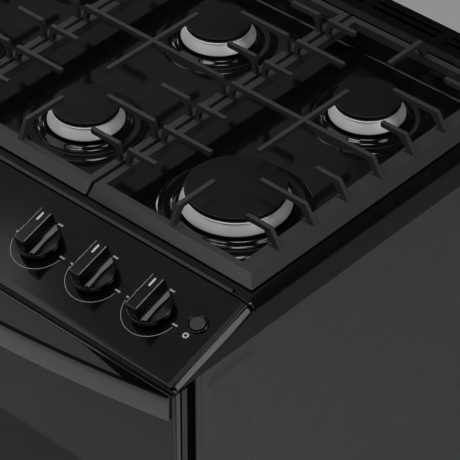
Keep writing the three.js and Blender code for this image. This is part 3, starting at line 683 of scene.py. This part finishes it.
def make_knob(name, plastic, white):
    """Disc with a shallow cone on top, a straight grip ridge across it and a pointer line."""
    node = f"knob_{name}"
    place = panel_place(node_centre(node).x / MM, KNOB_UP)
    z, top, length = KNOB_LIFT, KNOB_TOP, 24.4
    profile = [(0, z + 1), (22.5, z + 1), (23.5, z), (24.4, z), (24.9, z + 0.5), (25.3, z + 3.6)]
    profile += [(25.7, z + 4.4), (26.0, z + 5.2), (26.0, z + 6.4)]
    profile += arc(25.2, z + 6.4, 0.8, 20, 75, 4)
    profile += [(24.6, z + 7.3), (19, z + 8.2), (12.5, z + 8.8), (0, z + 9.0)]
    disc = lathe(f"{node}_disc", profile, 128, place)
    # Half width, half length and level of the ridge, from inside the disc up to its crest.
    shape = [(12.75, length, z + 5.0), (12.7, length, z + 8.28)]
    flank = reversed(arc(16.2, z + 15.9, 8.0, 180, 228, 10))
    shape += [(half_x, length, level) for half_x, level in flank]
    shape += [(8.1, 24.2, top - 1.9), (8.05, 24.1, top - 1.0), (7.95, 24.0, top - 0.6),
              (7.8, 23.8, top - 0.42), (7.65, 23.6, top - 0.33), (6.95, 22.9, top - 0.03),
              (6.8, 22.7, top), (6.3, 22.2, top)]
    loops = [grip_loop(half_x, half_y, level) for half_x, half_y, level in shape]
    grip = loft(f"{node}_grip", loops, smooth_angle=40)
    grip.matrix_world = place
    knob = join_objects(f"{node}_moulding", [disc, grip])
    dress(knob, f"dial_{name}", "knob_plastic", plastic, node)
    line = loft(f"{node}_pointer", [
        rounded_loop(-1.8, 0.4, 7.8, 19.1, 0.4, level, 4) for level in (top - 0.5, top + 0.1)
    ])
    line.matrix_world = place
    dress(line, f"dial_{name}", "knob_plastic", white)


def flat_mark(name, outline, x, up, ink):
    """A printed mark: a thin closed plate let into the panel. The outline is anticlockwise."""
    loops = [[(a, b, level) for a, b in outline] for level in (-0.3, 0.12)]
    mark = loft(name, loops)
    mark.matrix_world = panel_place(x, up)
    dress(mark, BODY, "black_enamel", ink)


def arc_band(radius, width, start, end, steps):
    """Outline of a curved stripe."""
    outer = arc(0, 0, radius + width / 2, start, end, steps)
    inner = arc(0, 0, radius - width / 2, end, start, steps)
    return outer + inner


def rectangle(half_x, half_y):
    """Outline of a bar."""
    return [(-half_x, -half_y), (half_x, -half_y), (half_x, half_y), (-half_x, half_y)]


def make_dial_marks(name, x, grey):
    """Arc round the lower half of a knob, a bar at each end of it and one above."""
    flat_mark(f"print_arc_{name}", arc_band(34.3, 0.65, 188.4, 351.6, 60), x, KNOB_UP, grey)
    flat_mark(f"print_high_{name}", rectangle(3.0, 1.1), x - 33.4, KNOB_UP - 1.0, grey)
    flat_mark(f"print_low_{name}", rectangle(3.7, 1.1), x + 34.6, KNOB_UP - 1.0, grey)
    flat_mark(f"print_off_{name}", rectangle(3.6, 1.1), x + 2.0, KNOB_UP + 31.7, grey)


def make_igniter(plastic, matte, white):
    """Round button in a ring, with a small spark printed in front of it."""
    button = node_centre("igniter_button").x / MM
    place = panel_place(button, BUTTON_UP)
    ring = [(9.7, -2), (12.2, -2), (12.2, 0.9)] + arc(11.1, 0.9, 1.1, 0, 100, 6)
    ring += [(10.0, 1.4), (9.7, 0.8)]
    dress(lathe("igniter_bezel_ring", ring, 128, place), BODY, "knob_plastic", plastic,
          "igniter_bezel")
    cap = [(0, -6), (9.2, -6), (9.2, 2.0)] + arc(8.0, 2.0, 1.2, 0, 80, 5) + [(5, 2.9), (0, 2.7)]
    dress(lathe("igniter_button_cap", cap, 128, place), "button", "knob_plastic", matte,
          "igniter_button")
    spark_x, spark_up = button - 2.1, BUTTON_UP - 18.0
    flat_mark("print_spark_ring", arc_band(2.5, 0.9, 0, 359, 24), spark_x, spark_up, white)
    ray = [(2.9, -0.4), (4.3, -0.32), (4.3, 0.32), (2.9, 0.4)]
    for i in range(8):
        a = math.radians(45 * i)
        turned = [(u * math.cos(a) - v * math.sin(a), u * math.sin(a) + v * math.cos(a))
                  for u, v in ray]
        flat_mark(f"print_spark_ray_{i}", turned, spark_x, spark_up, white)


# ---- door handle ------------------------------------------------------------------------------------
def make_handle(material):
    """A strip bent to a shallow arc, with rounded edges and ends short of the CAD solid's."""
    low, high = (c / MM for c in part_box("door_handle"))
    face, front, z0, z1 = high.y, low.y, low.z, high.z
    half = high.x - 5.5
    thick, thick_end, r = 5, 3, 1.3
    loops = []
    steps = 64
    for i in range(steps + 1):
        x = half * (2 * i / steps - 1)
        outer = face - thick_end - (face - front - thick_end) * (1 - (x / half) ** 2)
        inner = max(min(face, outer + thick), outer + 2 * r + 0.1)
        section = arc(outer + r, z1 - r, r, 180, 90, 3) + arc(inner - r, z1 - r, r, 90, 0, 3)
        section += arc(inner - r, z0 + r, r, 0, -90, 3) + arc(outer + r, z0 + r, r, -90, -180, 3)
        loops.append([(x, y, z) for y, z in section])
    handle = loft("door_handle_bar", loops, smooth_angle=35)
    dress(handle, "oven_door", "door_metal", material, "door_handle")


# ---- cabinet ----------------------------------------------------------------------------------------
def side_loop(y0, y1, z0, z1, radius, x, steps=8):
    """Rounded rectangle that stands upright at x, facing sideways."""
    return [(x, y, z) for y, z, x in rounded_loop(y0, y1, z0, z1, radius, x, steps)]


def make_side_panel(side, material):
    """Folded sheet, creased along its front edge, with a raised field at the front and rear."""
    node = "side_panel_right" if side > 0 else "side_panel_left"
    low, high = (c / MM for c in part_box(node))
    relief, turn = 1.0, 2.6            # height of the fields, radius of the folded edges
    face = (high.x if side > 0 else low.x) - side * relief
    y0, y1, z0, z1 = low.y, high.y, low.z, high.z

    def edge(front, other, sunk):
        """Loop at one inset from the front edge and another from the rest, below the face."""
        return side_loop(y0 + front, y1 - other, z0 + other * 0.4, z1 - other * 0.4, 2.0,
                         face - side * sunk)

    rim = []
    for a in (0, 20, 40, 60, 75, 90):
        inset, sunk = (turn * (1 - f(math.radians(a))) for f in (math.cos, math.sin))
        rim.append(edge(inset, inset, sunk))
    for inset, sunk in ((7.4, 0), (7.8, 0.4), (8.4, 0.4), (8.8, 0), (9.6, 0)):
        rim.append(edge(inset, turn + (inset - turn) * 0.06, sunk))
    width, margin = 83, 17
    fields = [raised_field(side, face, relief, (start, start + width), (80, z1 - 12))
              for start in (y0 + margin, y1 - margin - width)]
    pieces = [loft(f"{node}_rim", rim, cap_end=False, smooth_angle=20),
              face_with_holes(f"{node}_face", rim[-1], [field[0] for field in fields])]
    pieces += [loft(f"{node}_field", field, cap_start=False, smooth_angle=60) for field in fields]
    pieces += [make_fold(node, side, face, y0, y0 + 1, z0, z1),
               make_fold(node, side, face, y1 - 1, y1, z0, z1)]
    dress(join_objects(f"{node}_skin", pieces), BODY, "side_paint", material, node)


def raised_field(side, face, relief, span_y, span_z):
    """Loops of a rounded rectangle pressed out of the sheet; rear and top edges fade out slowly."""
    slope, radius = 3.6, 14

    def ring(inset, margin, height):
        """Loop drawn in by a sloping inset and an even margin."""
        return side_loop(span_y[0] + inset + margin, span_y[1] - inset * 2.5 - margin,
                         span_z[0] + inset + margin, span_z[1] - inset * 4 - margin,
                         radius - inset - margin, face + side * height, 10)

    loops = [ring(slope * t, 0, relief * (0.5 - 0.5 * math.cos(math.pi * t)))
             for t in (0.0, 0.15, 0.3, 0.4, 0.5, 0.6, 0.7, 0.85, 1.0)]
    return loops + [ring(slope, 1.0, relief)]


def face_with_holes(name, boundary, holes):
    """Flat face inside a closed loop, with closed loops left out of it."""
    work = bmesh.new()
    for loop in (boundary, *holes):
        points = [work.verts.new(Vector(p) * MM) for p in loop]
        for a, b in zip(points, points[1:] + points[:1]):
            work.edges.new((a, b))
    bmesh.ops.triangle_fill(work, use_beauty=True, use_dissolve=False, edges=work.edges[:])
    mesh = bpy.data.meshes.new(name)
    work.to_mesh(mesh)
    work.free()
    obj = bpy.data.objects.new(name, mesh)
    bpy.context.scene.collection.objects.link(obj)
    return obj


def make_fold(node, side, face, y0, y1, z0, z1):
    """Flange turned in from the front or rear edge of a side panel."""
    x0, x1 = sorted((face - side * 18, face - side * 0.9))
    loops = [[(x, y, z) for x, y in ((x0, y0), (x1, y0), (x1, y1), (x0, y1))] for z in (z0, z1)]
    return loft(f"{node}_fold", loops)


def make_rack(node, material):
    """Wire rack: a frame and a middle bar of thick rods, with thin rods laid over them."""
    low, high = (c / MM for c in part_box(node))
    thick, thin, count = 3, 1.8, 15
    level = low.z + thick
    half = high.x + 1
    wires = []

    def rod(start, end, radius):
        """Adds a round rod with chamfered ends."""
        a, b = Vector(start) * MM, Vector(end) * MM
        turn = (b - a).to_track_quat("Z", "Y").to_matrix().to_4x4()
        length = (b - a).length / MM
        profile = [(0, 0), (radius * 0.8, 0), (radius, radius * 0.2),
                   (radius, length - radius * 0.2), (radius * 0.8, length), (0, length)]
        wires.append(lathe(f"{node}_wire", profile, 12, Matrix.Translation(a) @ turn))

    y0, y1 = low.y + thick, high.y - thick
    for side in (-1, 1):
        rod((side * (half - 4), y0, level), (side * (half - 4), y1, level), thick)
    for y in (y0, (y0 + y1) / 2, y1):
        rod((-half + 4, y, level), (half - 4, y, level), thick)
    for i in range(count):
        x = (half - 30) * (2 * i / (count - 1) - 1)
        rod((x, y0, level + 1.7), (x, y1, level + 1.7), thin)
    rack = join_objects(f"{node}_wires", wires)
    dress(rack, BODY, "chrome_wire", material, node)


def make_foot(corner, material):
    """Levelling foot: a round pad on a plain rod."""
    node = f"foot_{corner}"
    centre = node_centre(node)
    profile = [(0, 0), (18.6, 0)] + arc(18.4, 1.5, 1.5, -90, 0, 4) + arc(17.4, 6.0, 2.4, 0, 70, 4)
    profile += [(10, 10.5), (8.2, 12), (8.0, 21.8), (5, 21.9), (5, 46), (0, 46)]
    foot = lathe(f"{node}_pad", profile, 48, Matrix.Translation((centre.x, centre.y, 0)))
    dress(foot, BODY, "rubber", material, node)


# ---- assembly ---------------------------------------------------------------------------------------
make_camera()
make_lights()
make_floor(paint("floor_pale", (0.78, 0.78, 0.77), (0.82, 0.82, 0.81), 0.6, 0.02, 60))

black = ((0.006, 0.006, 0.0065), (0.009, 0.009, 0.0095))
gloss = enamel("black_enamel", *black)
trim_finish = enamel("trim_enamel", *black, 0.2, 0.03, 0.15)
iron = cast_iron("grate_iron", (0.036, 0.036, 0.0365), (0.050, 0.050, 0.051))
cap_finish = cast_iron("cap_enamel", (0.008, 0.008, 0.0084), (0.012, 0.012, 0.0125), 0.12, 0.28)
aluminium = satin_aluminium("burner_aluminium")
side_finish = paint("side_paint", (0.042, 0.042, 0.043), (0.046, 0.046, 0.047), 0.38, 0.04)
knob_finish = enamel("knob_plastic", (0.007, 0.007, 0.0073), (0.010, 0.010, 0.0103), 0.14, 0.02)
# The second colour is painted shade on the handle's upward faces.
handle_finish = handle_paint_and_top_shade("handle_grey", (0.15, 0.15, 0.151), (0.004, 0.004, 0.004))
zinc = galvanised("zinc_sheet")
oven_finish = speckled("oven_enamel")
chrome = plain_metal("chrome_wire", (0.62, 0.62, 0.62), (0.72, 0.72, 0.72), 0.16)
brass = plain_metal("brass", (0.48, 0.34, 0.14), (0.60, 0.44, 0.20), 0.34)
heat_steel = plain_metal("burner_steel", (0.16, 0.15, 0.15), (0.30, 0.28, 0.26), 0.45, 20)
rubber = paint("rubber", (0.012, 0.012, 0.012), (0.020, 0.020, 0.020), 0.8, 0.2, 300)
glass = door_glass_material("door_glass")
white = printed("printed_white", (0.85, 0.85, 0.85), (0.92, 0.92, 0.92))
button_finish = paint("button_matte", (0.026, 0.026, 0.0265), (0.032, 0.032, 0.0325), 0.4, 0.06)
grey_print = printed("printed_grey", (0.34, 0.34, 0.34), (0.40, 0.40, 0.40))
# The last colour is the painted shadow in the door frame's seams.
frame_finish = door_side("door_side", (0.09, 0.09, 0.092), (0.03, 0.03, 0.031),
                         (0.004, 0.004, 0.004))

make_cooktop(gloss)
make_front_rail(gloss)
for column in ("left", "centre", "right"):
    refine_node(f"grate_{column}", iron, 1.2, 3)
    for row in ("front", "rear"):
        make_burner(f"{column}_{row}", aluminium, cap_finish, gloss)
make_control_panel(gloss)
for name in ("left_1", "left_2", "left_3", "oven", "right_1", "right_2", "right_3"):
    make_knob(name, knob_finish, white)
    make_dial_marks(name, node_centre(f"knob_{name}").x / MM, grey_print)
    refine_node(f"valve_stem_{name}", brass, 0)
make_igniter(knob_finish, button_finish, white)
make_handle(handle_finish)
for side in (-1, 1):
    make_side_panel(side, side_finish)
for node in ("oven_rack_lower", "oven_rack_upper"):
    make_rack(node, chrome)
for corner in ("front_left", "front_right", "rear_left", "rear_right"):
    make_foot(corner, rubber)

# CAD solids that are kept, with the width of their rounded edges.
for node, finish, width in (
    ("rear_trim", trim_finish, 1.2),
    ("door_glass", glass, 0.6),
    ("door_inner_glass", glass, 0.3),
    ("door_frame", frame_finish, 0.8),
    ("door_liner", oven_finish, 0.3),
    ("door_gasket", rubber, 1.2),
    ("drawer_front", gloss, 1.0),
    ("drawer_box", zinc, 0.2),
    ("front_frame", gloss, 0.8),
    ("oven_cavity", oven_finish, 0.3),
    ("oven_floor", oven_finish, 0.3),
    ("oven_burner", heat_steel, 0),
    ("base_frame", side_finish, 0.4),
    ("back_panel", zinc, 0.2),
    ("gas_manifold", brass, 0),
    ("gas_supply_pipe", zinc, 0),
    ("door_hinge_left", zinc, 0.4),
    ("door_hinge_right", zinc, 0.4),
):
    refine_node(node, finish, width)
